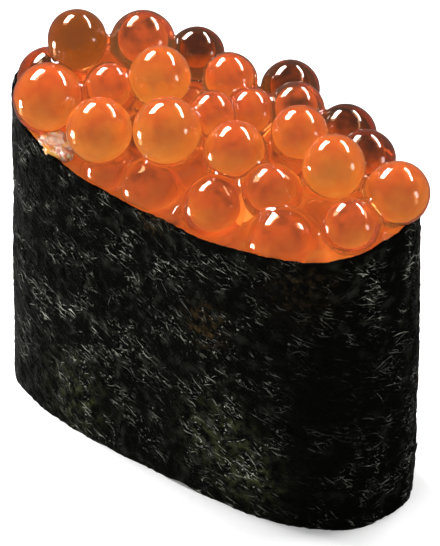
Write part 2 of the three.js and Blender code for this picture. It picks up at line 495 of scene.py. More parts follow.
def new_tree(name, kind, inputs, outputs):
    """A node group, from its inputs' defaults, or kinds if they have none, and its outputs' kinds."""
    tree = bpy.data.node_groups.new(name, kind)
    for label, default in inputs.items():
        has_default = not isinstance(default, str)
        socket_kind = SOCKET_KINDS[type(default)] if has_default else default
        socket = tree.interface.new_socket(label, in_out="INPUT", socket_type="NodeSocket" + socket_kind)
        if has_default:
            socket.default_value = default
    for label, socket_kind in outputs.items():
        tree.interface.new_socket(label, in_out="OUTPUT", socket_type="NodeSocket" + socket_kind)
    return tree


def new_geometry_tree(name, inputs):
    """A Geometry Nodes tree with its own inputs between the geometry and the material, and their sockets."""
    inputs = {"Geometry": "Geometry", **inputs, "Finish": "Material"}
    tree = new_tree(name, "GeometryNodeTree", inputs, {"Geometry": "Geometry"})
    return tree, add(tree, "NodeGroupInput").outputs


def stored_value(tree, name):
    """A number that the points of a geometry carry."""
    node = add(tree, "GeometryNodeInputNamedAttribute", {"Name": name}, data_type="FLOAT")
    return node.outputs["Attribute"]


def store_value(tree, geometry, name, value, domain):
    """The geometry with a number stored on it."""
    inputs = {"Geometry": geometry, "Name": name, "Value": value}
    node = add(tree, "GeometryNodeStoreNamedAttribute", inputs, data_type="FLOAT", domain=domain)
    return node.outputs["Geometry"]


def random_value(tree, limits, seed):
    """A random number between two limits for each point."""
    inputs = {2: limits[0], 3: limits[1], "Seed": seed}
    return add(tree, "FunctionNodeRandomValue", inputs, data_type="FLOAT").outputs[1]


def place_copies(tree, inputs):
    """One real copy of a shape on each point."""
    copies = add(tree, "GeometryNodeInstanceOnPoints", inputs)
    return add(tree, "GeometryNodeRealizeInstances", {"Geometry": copies.outputs["Instances"]}).outputs[0]


def end_geometry_tree(tree, geometry, material):
    """Gives the geometry its material and puts it out."""
    finished = add(tree, "GeometryNodeSetMaterial", {"Geometry": geometry, "Material": material})
    add(tree, "NodeGroupOutput", {"Geometry": finished.outputs["Geometry"]})


def use_group(tree, group, inputs):
    """The outputs of a group placed in a material, with its own values."""
    return add(tree, "ShaderNodeGroup", inputs, node_tree=group).outputs


def new_material(name):
    """A material with an empty Principled shader: (material, tree, shader)."""
    material = bpy.data.materials.new(name)
    material.use_nodes = True
    tree = material.node_tree
    tree.nodes.clear()
    shader = add(tree, "ShaderNodeBsdfPrincipled")
    add(tree, "ShaderNodeOutputMaterial", {"Surface": shader.outputs["BSDF"]})
    return material, tree, shader


# ---------------------------------------------------------------- shader groups


def mottle_group():
    """Soft patches between two colours, of a size in millimetres."""
    found = bpy.data.node_groups.get("Mottle")
    if found:
        return found
    inputs = {
        "Vector": "Vector",
        "Patch Size": 3.0,
        "Low": 0.4,
        "High": 0.6,
        "Ground": (0.5, 0.5, 0.5, 1.0),
        "Patch": (0.6, 0.6, 0.6, 1.0),
    }
    tree = new_tree("Mottle", "ShaderNodeTree", inputs, {"Colour": "Color", "Mask": "Float"})
    given = add(tree, "NodeGroupInput").outputs
    scale = maths(tree, "DIVIDE", 1 / MM, given["Patch Size"])
    patches = noise_at(tree, given["Vector"], scale, 3.0, 0.55)["Fac"]
    mask = fade(tree, patches, given["Low"], given["High"])
    mixed = mix_colours(tree, mask, given["Ground"], given["Patch"])
    add(tree, "NodeGroupOutput", {"Colour": mixed, "Mask": mask})
    return tree


def mottle(tree, vector, size, low=0.4, high=0.6, **colours):
    """The outputs of the group "Mottle" placed in a material."""
    inputs = {"Vector": vector, "Patch Size": size, "Low": low, "High": high, **colours}
    return use_group(tree, mottle_group(), inputs)


def streak_group():
    """Short wandering streaks that lie mostly one way, of a length and width in millimetres."""
    found = bpy.data.node_groups.get("Streaks")
    if found:
        return found
    inputs = {
        "Vector": "Vector",
        "Lean": 0.5,
        "Length": 2.0,
        "Width": 0.3,
        "Wander": 0.8,
        "Low": 0.55,
        "High": 0.7,
    }
    tree = new_tree("Streaks", "ShaderNodeTree", inputs, {"Mask": "Float", "Height": "Float"})
    given = add(tree, "NodeGroupInput").outputs
    wander = noise_at(tree, given["Vector"], 0.45 / MM, 1.0)["Color"]
    centred = vectors(tree, "SUBTRACT", {0: wander, 1: (0.5, 0.5, 0.5)})
    reach = maths(tree, "MULTIPLY", given["Wander"], 2 * MM)
    pushed = vectors(tree, "SCALE", {0: centred, "Scale": reach})
    moved = vectors(tree, "ADD", {0: given["Vector"], 1: pushed})
    spin = {"Vector": moved, "Angle": given["Lean"]}
    turned = add(tree, "ShaderNodeVectorRotate", spin, rotation_type="Z_AXIS").outputs[0]
    along = maths(tree, "DIVIDE", 1 / MM, given["Length"])
    across = maths(tree, "DIVIDE", 1 / MM, given["Width"])
    stretch = add(tree, "ShaderNodeCombineXYZ", {"X": along, "Y": across, "Z": across}).outputs[0]
    laid = vectors(tree, "MULTIPLY", {0: turned, 1: stretch})
    grain = noise_at(tree, laid, 1.0, 2.0)["Fac"]
    mask = fade(tree, grain, given["Low"], given["High"])
    add(tree, "NodeGroupOutput", {"Mask": mask, "Height": grain})
    return tree


# ---------------------------------------------------------------- the seaweed band


class BandSettings(bpy.types.PropertyGroup):
    """Sizes and colours of the seaweed band."""

    sheet_thickness: FloatProperty(
        name="Sheet Thickness", description="Thickness of the seaweed sheet", default=0.3 * MM, unit="LENGTH"
    )
    crinkle_depth: FloatProperty(
        name="Crinkle Depth", description="How deep the small crinkles are", default=0.16 * MM, unit="LENGTH"
    )
    crinkle_size: FloatProperty(
        name="Crinkle Size", description="Distance between small crinkles", default=1.7 * MM, unit="LENGTH"
    )
    fold_depth: FloatProperty(
        name="Fold Depth", description="How deep the soft folds are", default=0.22 * MM, unit="LENGTH"
    )
    edge_raggedness: FloatProperty(
        name="Edge Raggedness", description="How uneven the cut edges are", default=0.16 * MM, unit="LENGTH"
    )
    stations: IntProperty(name="Stations", description="Steps along the strip", default=560)
    outer_rows: IntProperty(name="Outer Rows", description="Points up the outer face", default=112)
    inner_rows: IntProperty(name="Inner Rows", description="Points down the inner face", default=28)
    strands_per_area: FloatProperty(
        name="Strands Per Area", description="Raised strands on each square metre", default=1.4e5
    )
    strand_length: FloatProperty(
        name="Strand Length", description="Length of a typical strand", default=4.2 * MM, unit="LENGTH"
    )
    strand_thickness: FloatProperty(
        name="Strand Thickness", description="Radius of a typical strand", default=0.07 * MM, unit="LENGTH"
    )
    strand_lean: FloatProperty(
        name="Strand Lean", description="Which way most strands lie", default=1.3, subtype="ANGLE"
    )
    # Painted glints: the higher, the fewer strands are painted pale.
    strand_rarity: FloatProperty(
        name="Strand Rarity", description="The higher, the fewer strands are pale", default=5.0
    )
    strand_seed: IntProperty(name="Strand Seed", description="Seed of the strands' places", default=7)
    seaweed_colour: FloatVectorProperty(
        name="Seaweed", description="The sheet's colour", default=(0.0014, 0.0014, 0.0010), subtype="COLOR"
    )
    # Olive patches at the listed spots.
    green_colour: FloatVectorProperty(
        name="Green Patches", description="Thin places", default=(0.034, 0.037, 0.015), subtype="COLOR"
    )
    # Brown patches; under the rim they are the roe's reflection, painted on.
    brown_and_reflection_colour: FloatVectorProperty(
        name="Brown Patches", description="Toasted places", default=(0.045, 0.028, 0.010), subtype="COLOR"
    )
    # Grey patches, mixed in most where the glints are painted.
    grey_patch_colour: FloatVectorProperty(
        name="Faded Patches", description="Soft grey bloom", default=(0.020, 0.021, 0.016), subtype="COLOR"
    )
    # Painted highlight: the pale colour painted on crinkle crests and strands in place of glints of light.
    painted_glint_colour: FloatVectorProperty(
        name="Glints", description="Dry, pale crinkle crests", default=(0.40, 0.405, 0.34), subtype="COLOR"
    )


def strip_stations(count):
    """Turns of the strip from its covered start to its free end, and their places along it in millimetres."""
    samples = 4000
    turns = np.linspace(LAP_START + LAP_RISE / 2, TAU + LAP_END, samples)
    path = np.array([oval_point(turn, BAND_HEIGHT)[:2] for turn in turns])
    steps = np.linalg.norm(np.diff(path, axis=0), axis=1)
    lengths = np.concatenate([[0.0], np.cumsum(steps)])
    places = np.linspace(0.0, lengths[-1], count)
    return np.interp(places, lengths, turns), places


def lap_lift(turn):
    """How far the strip stands out where it lies over its own start."""
    rise = min(max((turn - TAU - LAP_START) / LAP_RISE, 0.0), 1.0)
    return LAP_STEP * rise * rise * (3 - 2 * rise)


def soft_wave(along, height, waves):
    """A soft wave of the sheet, with its sizes along the strip and up it and its place in the noise."""
    return noise.noise(Vector((along / waves[0], height / waves[1], waves[2])))


def sheet_relief(along, height, settings):
    """How far the crinkled sheet stands out from its smooth shape, in millimetres."""
    folds = soft_wave(along, height, FOLD_WAVES) + soft_wave(along, height, SAG_WAVES)
    spot = Vector((along, height, 0.0))
    warp = noise.noise_vector(spot / CRINKLE_WARP["size"]) * CRINKLE_WARP["reach"]
    size = settings.crinkle_size / MM
    crinkles = ridges(spot / size + warp, CRINKLE_OCTAVES) - 1.0
    return folds * settings.fold_depth / MM + crinkles * settings.crinkle_depth / MM


def foot_tuck(turn, height):
    """How far the foot is drawn in at the band's +X end, in millimetres."""
    low = max(1 - height / FOOT_TUCK["height"], 0.0)
    return FOOT_TUCK["depth"] * low * max(math.cos(turn), 0.0)


def foot_nick(turn):
    """How far the foot's cut edge is nicked, in millimetres."""
    away = (turn - FOOT_NICK["turn"]) / FOOT_NICK["reach"]
    return FOOT_NICK["rise"] * math.exp(-(away**2))


def spot_shares(places, spots):
    """How strongly each of an array of plan places lies in soft spots of (turn, height, reach, strength)."""
    total = np.zeros(len(places))
    for turn, height, reach, strength in spots:
        gap = np.linalg.norm(places - np.array(oval_point(turn, height)), axis=1)
        total += strength * np.exp(-((gap / reach) ** 2))
    return total


def edge_wobble(along, row, settings):
    """How far a cut edge wanders, in millimetres, from a row of the noise for each edge."""
    fine = noise.noise(Vector((along / EDGE_WAVES["fine"], row, 0.0)))
    coarse = noise.noise(Vector((along / EDGE_WAVES["coarse"], row, 5.0)))
    return (EDGE_WAVES["fine_share"] * fine + coarse) * settings.edge_raggedness / MM


def mark_sheet(piece):
    """Stores how near the sheet's points are to a cut edge, how many glints are painted there, and how olive
    and how brown they are, the brown under the rim being a painted reflection of the roe.
    """
    places = plan_places(piece)
    turns = oval_share(places[:, 0], places[:, 1], 0.0)[1]
    set_values(piece, "edge_gap", np.minimum(places[:, 2], rim_height(turns) - places[:, 2]))
    set_values(piece, "painted_glint_share", PAINTED_GLINT_BASE + spot_shares(places, PAINTED_GLINT_SPOTS))
    set_values(piece, "olive_share", spot_shares(places, OLIVE_SPOTS))
    set_values(piece, "brown_and_roe_reflection", spot_shares(places, BROWN_AND_REFLECTION_SPOTS))


def seaweed_sheet(settings):
    """The strip as one closed sheet with both faces, in the frame, and its flat plan as a UV map."""
    noise.seed_set(NOISE_SEED)
    turns, places = strip_stations(settings.stations)
    thickness = settings.sheet_thickness / MM
    up = np.linspace(0.0, 1.0, settings.outer_rows)
    down = np.linspace(1.0, 0.0, settings.inner_rows)
    section = [(share, 0.0) for share in up] + [(share, thickness) for share in down]
    vertices, flat = [], []
    for turn, along in zip(turns, places):
        top = rim_height(turn) + edge_wobble(along, 1.0, settings)
        foot = max(edge_wobble(along, 2.0, settings), 0.0) + foot_nick(turn)
        outward = oval_outward(turn, BAND_HEIGHT)
        for share, depth in section:
            height = foot + (top - foot) * share
            relief = sheet_relief(along, height, settings) - foot_tuck(turn, height)
            point = oval_point(turn, height) + outward * (lap_lift(turn) + relief - depth)
            vertices.append(to_frame(point))
            flat.append((along * MM, height * MM))
    ring = len(section)
    faces = []
    for station in range(len(turns) - 1):
        first, second = station * ring, (station + 1) * ring
        for i in range(ring):
            j = (i + 1) % ring
            faces.append((first + i, second + i, second + j, first + j))
    faces.append(tuple(range(ring)))
    faces.append(tuple(range(len(vertices) - 1, len(vertices) - ring - 1, -1)))
    piece = new_piece("seaweed_sheet", vertices, faces)
    uv = piece.data.uv_layers.new(name="Sheet")
    corners = np.zeros(len(piece.data.loops), dtype=np.int32)
    piece.data.loops.foreach_get("vertex_index", corners)
    uv.data.foreach_set("uv", np.array(flat, dtype=np.float32)[corners].ravel())
    mark_sheet(piece)
    return piece


def seaweed_material(settings):
    """Roasted seaweed: near black, mottled green and brown, with grey patches, and with short pale glints of
    light painted on its crests; the brown under the rim is a painted reflection of the roe.
    """
    material, tree, shader = new_material("Roasted Seaweed")
    sheet = add(tree, "ShaderNodeUVMap", uv_map="Sheet").outputs["UV"]
    ground = opaque(settings.seaweed_colour)
    patched = (("olive_share", 1.3, settings.green_colour), ("brown_and_roe_reflection", 0.9, settings.brown_and_reflection_colour))
    for spots, size, colour in patched:
        patches = mottle(tree, sheet, size, low=0.42, high=0.8)["Mask"]
        amount = maths(tree, "MULTIPLY", patches, fade(tree, shaded_value(tree, spots), 0.0, 0.8))
        ground = mix_colours(tree, amount, ground, opaque(colour))
    painted_glint_share = shaded_value(tree, "painted_glint_share")
    streaks = []
    for lean, length, width, low in STREAKS:
        inputs = {
            "Vector": sheet,
            "Lean": lean,
            "Length": length,
            "Width": width,
            "Wander": STREAK_WANDER,
            "Low": low,
            "High": low + STREAK_FADE,
        }
        streaks.append(use_group(tree, streak_group(), inputs))
    # Painted highlights: specks and streaks of pale glint colour in scattered clusters, most where the stored
    # glint share is high, with lower roughness there.
    glints = mottle(tree, sheet, size=0.45, low=0.6, high=0.72)["Mask"]
    for streak in streaks:
        glints = maths(tree, "MAXIMUM", glints, streak["Mask"])
    scattered = mottle(tree, sheet, size=3.5, low=0.45, high=0.65)["Mask"]
    painted_glint_mask = maths(tree, "MULTIPLY", maths(tree, "MULTIPLY", glints, scattered), painted_glint_share)
    # Grey patches, strongest where the glints are painted.
    clouded = mottle(tree, sheet, size=1.9, low=0.5, high=0.75)["Mask"]
    ground = mix_colours(tree, maths(tree, "MULTIPLY", clouded, painted_glint_share), ground, opaque(settings.grey_patch_colour))
    relief = maths(tree, "ADD", streaks[0]["Height"], streaks[1]["Height"])
    pores = noise_at(tree, sheet, 3.2 / MM, 2.0)["Fac"]
    height = maths(tree, "ADD", relief, maths(tree, "MULTIPLY", pores, 0.6))
    bump = add(tree, "ShaderNodeBump", {"Height": height, "Strength": 0.9, "Distance": 0.18 * MM})
    finish = {
        "Base Color": mix_colours(tree, painted_glint_mask, ground, opaque(settings.painted_glint_colour)),
        "Roughness": fade(tree, painted_glint_mask, 0.0, 1.0, 0.85, 0.3),
        "Normal": bump.outputs["Normal"],
        "Specular IOR Level": 0.015,
        "Sheen Weight": 0.035,
        "Sheen Roughness": 0.2,
    }
    fill(tree, shader, finish)
    return material


def strand_tree():
    """Geometry Nodes that lay short raised strands on the outer face of a sheet."""
    inputs = {
        "Strands Per Area": 1e5,
        "Length": 1.0 * MM,
        "Thickness": 0.05 * MM,
        "Lean": 0.0,
        "Rarity": 4.0,
        "Edge Gap": 1.0,
        "Seed": 1,
    }
    tree, given = new_geometry_tree("Seaweed Strands", inputs)
    normal = add(tree, "GeometryNodeInputNormal").outputs[0]
    place = add(tree, "GeometryNodeInputPosition").outputs[0]
    ways = {0: normal, 1: vectors(tree, "MULTIPLY", {0: place, 1: (1.0, 1.0, 0.0)})}
    facing = add(tree, "ShaderNodeVectorMath", ways, operation="DOT_PRODUCT").outputs["Value"]
    outer = add(tree, "FunctionNodeCompare", {0: facing, 1: 0.0}, operation="GREATER_THAN").outputs[0]
    edge = {0: stored_value(tree, "edge_gap"), 1: given["Edge Gap"]}
    clear = add(tree, "FunctionNodeCompare", edge, operation="GREATER_THAN").outputs[0]
    chosen = add(tree, "FunctionNodeBooleanMath", {0: outer, 1: clear}).outputs["Boolean"]
    scatter = {
        "Mesh": given["Geometry"],
        "Selection": chosen,
        "Density": given["Strands Per Area"],
        "Seed": given["Seed"],
    }
    spots = add(tree, "GeometryNodeDistributePointsOnFaces", scatter).outputs
    arc = {
        "Resolution": 7,
        "Radius": given["Length"],
        "Start Angle": -STRAND_BEND / 2,
        "Sweep Angle": STRAND_BEND,
    }
    line = add(tree, "GeometryNodeCurveArc", arc).outputs["Curve"]
    back = add(tree, "ShaderNodeCombineXYZ", {"X": maths(tree, "MULTIPLY", given["Length"], -1.0)}).outputs[0]
    centred = add(tree, "GeometryNodeTransform", {"Geometry": line, "Translation": back}).outputs["Geometry"]
    section = add(tree, "GeometryNodeCurvePrimitiveCircle", {"Resolution": 4, "Radius": given["Thickness"]})
    taper = add(tree, "GeometryNodeSplineParameter").outputs["Factor"]
    bulge = maths(tree, "SINE", maths(tree, "MULTIPLY", taper, math.pi))
    sweep = {
        "Curve": centred,
        "Profile Curve": section.outputs["Curve"],
        "Scale": maths(tree, "ADD", bulge, STRAND_TIP),
        "Fill Caps": True,
    }
    strand = add(tree, "GeometryNodeCurveToMesh", sweep).outputs["Mesh"]
    stray = maths(tree, "POWER", random_value(tree, (-1.0, 1.0), given["Seed"]), 3.0)
    yaw = maths(tree, "MULTIPLY_ADD", stray, math.pi, given["Lean"])
    spin = add(tree, "FunctionNodeAxisAngleToRotation", {"Axis": (0.0, 0.0, 1.0), "Angle": yaw}).outputs[0]
    turns = {"Rotation": spots["Rotation"], "Rotate By": spin}
    laid = add(tree, "FunctionNodeRotateRotation", turns, rotation_space="LOCAL").outputs["Rotation"]
    size = random_value(tree, STRAND_SIZES, maths(tree, "ADD", given["Seed"], 1.0))
    copies = {"Points": spots["Points"], "Instance": strand, "Rotation": laid, "Scale": size}
    strands = add(tree, "GeometryNodeInstanceOnPoints", copies).outputs["Instances"]
    # Painted highlights: a few strands, picked at random, are marked pale to be painted with glint colour.
    chance = random_value(tree, (0.0, 1.0), maths(tree, "ADD", given["Seed"], 2.0))
    pale = maths(tree, "POWER", chance, given["Rarity"])
    marked = store_value(tree, strands, "pale", pale, "INSTANCE")
    real = add(tree, "GeometryNodeRealizeInstances", {"Geometry": marked}).outputs["Geometry"]
    end_geometry_tree(tree, real, given["Finish"])
    return tree


def strand_material(settings):
    """The raised strands: the seaweed's own black, with pale glints of light painted on one here and there."""
    material, tree, shader = new_material("Seaweed Strand")
    place = object_place(tree)
    black, pale = opaque(settings.seaweed_colour), opaque(settings.painted_glint_colour)
    # Painted highlights: pale glint colour on the marked strands' crests, in clusters, most where the stored
    # glint share is high.
    clusters = mottle(tree, place, size=4.5, low=0.42, high=0.6, Ground=black, Patch=pale)["Colour"]
    crests = mottle(tree, place, size=0.9, low=0.35, high=0.6)["Mask"]
    crested = maths(tree, "MULTIPLY", shaded_value(tree, "pale"), crests)
    amount = maths(tree, "MULTIPLY", crested, shaded_value(tree, "painted_glint_share"))
    finish = {
        "Base Color": mix_colours(tree, amount, black, clusters),
        "Roughness": fade(tree, amount, 0.0, 0.5, 0.8, 0.25),
        "Specular IOR Level": 0.04,
    }
    fill(tree, shader, finish)
    return material


class GUNKAN_OT_seaweed_sheet(bpy.types.Operator):
    """Makes the crinkled seaweed strip that stands round the filling"""

    bl_idname = "gunkan.seaweed_sheet"
    bl_label = "Seaweed Sheet"

    def execute(self, context):
        settings = context.scene.gunkan_band
        dress(seaweed_sheet(settings), "nori_band", seaweed_material(settings))
        return {"FINISHED"}


class GUNKAN_OT_seaweed_strands(bpy.types.Operator):
    """Lays short raised strands on the sheet's outer face"""

    bl_idname = "gunkan.seaweed_strands"
    bl_label = "Seaweed Strands"

    def execute(self, context):
        settings = context.scene.gunkan_band
        sheet = bpy.data.objects["seaweed_sheet"]
        host = new_object("strand_host", sheet.data.copy())
        values = {
            "Strands Per Area": settings.strands_per_area,
            "Length": settings.strand_length,
            "Thickness": settings.strand_thickness,
            "Lean": settings.strand_lean,
            "Rarity": settings.strand_rarity,
            "Edge Gap": STRAND_EDGE_GAP,
            "Seed": settings.strand_seed,
            "Finish": strand_material(settings),
        }
        dress(run_tree(host, strand_tree(), values, "seaweed_strands"), "nori_band")
        return {"FINISHED"}


# ---------------------------------------------------------------- the rice


class RiceSettings(bpy.types.PropertyGroup):
    """Sizes and colours of the pressed rice."""

    grain_rings: IntProperty(name="Grain Rings", description="Rings of grains on the underside", default=5)
    grain_layers: FloatVectorProperty(
        name="Grain Layers",
        description="Heights of the two layers of grains",
        default=(1.0 * MM, 2.2 * MM),
        size=2,
        unit="LENGTH",
    )
    grain_half_length: FloatProperty(
        name="Half Length", description="Half the length of a grain", default=3.3 * MM, unit="LENGTH"
    )
    grain_half_width: FloatProperty(
        name="Half Width", description="Half the width of a grain", default=1.35 * MM, unit="LENGTH"
    )
    rice_colour: FloatVectorProperty(
        name="Rice", description="Cooked grain", default=(0.78, 0.74, 0.64), subtype="COLOR"
    )
    starch_colour: FloatVectorProperty(
        name="Starch", description="Whiter heart of a grain", default=(0.86, 0.84, 0.78), subtype="COLOR"
    )


def rice_material(settings):
    """Moist cooked rice."""
    material, tree, shader = new_material("Cooked Rice")
    grain, heart = opaque(settings.rice_colour), opaque(settings.starch_colour)
    patches = mottle(tree, object_place(tree), size=2.2, Ground=grain, Patch=heart)
    finish = {
        "Base Color": patches["Colour"],
        "Roughness": fade(tree, patches["Mask"], 0.0, 1.0, 0.3, 0.42),
        "Subsurface Weight": 0.4,
        "Subsurface Scale": 1.2 * MM,
    }
    fill(tree, shader, finish)
    return material


def rice_core():
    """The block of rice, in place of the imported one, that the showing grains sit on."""
    stations = 72
    vertices = []
    for height in (RICE_FLOOR, RICE_TOP):
        for i in range(stations):
            vertices.append(to_frame(oval_point(i / stations * TAU, height, BAND_WALL + RICE_GAP)))
    faces = [tuple(range(stations - 1, -1, -1)), tuple(range(stations, 2 * stations))]
    for i in range(stations):
        j = (i + 1) % stations
        faces.append((i, j, stations + j, stations + i))
    return new_piece("rice_core", vertices, faces)


def grain_tree():
    """Geometry Nodes that put a grain on each point and press it flat against the board."""
    inputs = {"Half Length": 3.3 * MM, "Half Width": 1.3 * MM, "Seed": 3}
    tree, given = new_geometry_tree("Rice Grains", inputs)
    ball = add(tree, "GeometryNodeMeshIcoSphere", {"Radius": 1.0, "Subdivisions": 3}).outputs["Mesh"]
    sides = {"X": given["Half Length"], "Y": given["Half Width"], "Z": given["Half Width"]}
    span = add(tree, "ShaderNodeCombineXYZ", sides).outputs[0]
    grain = add(tree, "GeometryNodeTransform", {"Geometry": ball, "Scale": span}).outputs["Geometry"]
    turn = add(tree, "ShaderNodeCombineXYZ", {"Z": stored_value(tree, "grain_yaw")}).outputs[0]
    size = random_value(tree, GRAIN_SIZES, maths(tree, "ADD", given["Seed"], 1.0))
    points = add(tree, "GeometryNodeMeshToPoints", {"Mesh": given["Geometry"]}).outputs["Points"]
    real = place_copies(tree, {"Points": points, "Instance": grain, "Rotation": turn, "Scale": size})
    place = add(tree, "ShaderNodeSeparateXYZ", {0: add(tree, "GeometryNodeInputPosition").outputs[0]}).outputs
    pressed = maths(tree, "MAXIMUM", place["Z"], GRAIN_PRESSED_TO * MM)
    level = add(tree, "ShaderNodeCombineXYZ", {"X": place["X"], "Y": place["Y"], "Z": pressed}).outputs[0]
    flat = add(tree, "GeometryNodeSetPosition", {"Geometry": real, "Position": level}).outputs["Geometry"]
    end_geometry_tree(tree, flat, given["Finish"])
    return tree


def grain_places(settings):
    """Where the underside's grains lie, ring by ring inwards, and which way each points."""
    half_length = settings.grain_half_length / MM
    half_width = settings.grain_half_width / MM
    places = []
    for layer, height in enumerate(settings.grain_layers):
        for ring in range(settings.grain_rings):
            spacing, disorder = GRAIN_EDGE_RING if ring == 0 else GRAIN_INNER_RINGS
            inset = BAND_WALL + half_width + GRAIN_GAP + GRAIN_RING_STEP * ring
            count = round(math.pi * (HALF_LENGTH + HALF_WIDTH - 2 * inset) / (spacing * half_length))
            for i in range(count):
                turn = (i + layer / 2) / count * TAU + ring
                outward = oval_outward(turn, height)
                lean = disorder * (len(places) * GOLDEN_SHARE % 1 - 0.5)
                along = math.atan2(outward.y, outward.x) + math.pi / 2
                places.append((oval_point(turn, height / MM, inset), along + lean))
    return places


class GUNKAN_OT_rice(bpy.types.Operator):
    """Makes the pressed rice and the grains of its underside"""

    bl_idname = "gunkan.rice"
    bl_label = "Rice"

    def execute(self, context):
        settings = context.scene.gunkan_rice
        finish = rice_material(settings)
        dress(rice_core(), "rice_base", finish)
        places = grain_places(settings)
        host = new_piece("grain_host", [to_frame(spot) for spot, _ in places], [])
        set_values(host, "grain_yaw", [turn for _, turn in places])
        values = {
            "Half Length": settings.grain_half_length,
            "Half Width": settings.grain_half_width,
            "Finish": finish,
        }
        dress(run_tree(host, grain_tree(), values, "rice_grains"), "rice_base")
        return {"FINISHED"}


# ---------------------------------------------------------------- the roe


class RoeSettings(bpy.types.PropertyGroup):
    """Sizes and colours of the roe."""

    lumpiness: FloatProperty(
        name="Lumpiness", description="How far a pearl is from a ball, as a share of its radius", default=0.08
    )
    film_blend: FloatProperty(
        name="Film Blend",
        description="How far the wet film fills the necks between pearls",
        default=0.65 * MM,
        unit="LENGTH",
    )
    # Painted light: the colour painted where light would gather, low in a pearl and in a lit one.
    pale_colour: FloatVectorProperty(
        name="Pale", description="Where light gathers in pale roe", default=(1.0, 0.58, 0.17), subtype="COLOR"
    )
    amber_colour: FloatVectorProperty(
        name="Amber", description="The palest roe", default=(0.78, 0.36, 0.07), subtype="COLOR"
    )
    red_colour: FloatVectorProperty(
        name="Red", description="Roe of the usual depth", default=(0.66, 0.180, 0.042), subtype="COLOR"
    )
    maroon_colour: FloatVectorProperty(
        name="Maroon", description="The darkest roe", default=(0.10, 0.020, 0.005), subtype="COLOR"
    )
    smoky_colour: FloatVectorProperty(
        name="Smoky", description="A brown, see-through pearl", default=(0.44, 0.19, 0.035), subtype="COLOR"
    )
    clear_colour: FloatVectorProperty(
        name="Clear Jelly", description="A pearl's clear jelly", default=(0.98, 0.72, 0.42), subtype="COLOR"
    )
    skin_colour: FloatVectorProperty(
        name="Torn Skin", description="An empty roe skin", default=(0.85, 0.55, 0.42), subtype="COLOR"
    )
    # Painted glow: emission that stands in for light passed on from inside the jelly.
    glow: FloatProperty(name="Glow", description="Light that the yolks pass on from inside", default=1.0)
    # Painted glow of the clear jelly, as emission.
    haze: FloatProperty(name="Haze", description="Light that the clear jelly scatters", default=0.03)


def pearl_tree():
    """Geometry Nodes that put a soft, slightly lumpy ball on each point."""
    tree, given = new_geometry_tree("Roe Pearls", {"Roundness": 5, "Lumpiness": 0.05})
    shape = {"Radius": 1.0, "Subdivisions": given["Roundness"]}
    ball = add(tree, "GeometryNodeMeshIcoSphere", shape).outputs["Mesh"]
    place = add(tree, "GeometryNodeInputPosition").outputs[0]
    up = add(tree, "ShaderNodeSeparateXYZ", {0: place}).outputs["Z"]
    marked = store_value(tree, ball, "roe_up", up, "POINT")
    radius = stored_value(tree, "radius_m")
    points = add(tree, "GeometryNodeMeshToPoints", {"Mesh": given["Geometry"]}).outputs["Points"]
    real = place_copies(tree, {"Points": points, "Instance": marked, "Scale": radius})
    wave = noise_at(tree, place, 1 / (PEARL_LUMP_SIZE * MM), 1.0)["Fac"]
    lumps = maths(tree, "MULTIPLY", radius, given["Lumpiness"])
    reach = maths(tree, "MULTIPLY", maths(tree, "SUBTRACT", wave, 0.5), lumps)
    normal = add(tree, "GeometryNodeInputNormal").outputs[0]
    push = vectors(tree, "SCALE", {0: normal, "Scale": reach})
    lumpy = add(tree, "GeometryNodeSetPosition", {"Geometry": real, "Offset": push}).outputs["Geometry"]
    end_geometry_tree(tree, lumpy, given["Finish"])
    return tree


def pearl_points(pearls):
    """A mesh of one point for each pearl, with its radius and its own darkness."""
    host = new_piece("pearl_host", [to_frame((x, y, BAND_HEIGHT + lift)) for x, y, lift, _, _ in pearls], [])
    set_values(host, "radius_m", [pearl[3] * MM for pearl in pearls])
    set_values(host, "roe_darkness", [pearl[4] for pearl in pearls])
    return host


def yolk_drops(pearls):
    """The drop in each pearl's heart, which floats up to its top: small if dark, wide if pale or smoky."""
    drops = []
    for x, y, lift, radius, darkness in pearls:
        narrowing = 0.0 if darkness == SMOKY else min(max(darkness, 0.0), DARK)
        share = YOLK_WIDEST - YOLK_NARROWS * narrowing
        drops.append((x, y, lift + YOLK_FLOATS * (1 - share) * radius, share * radius, darkness))
    return drops


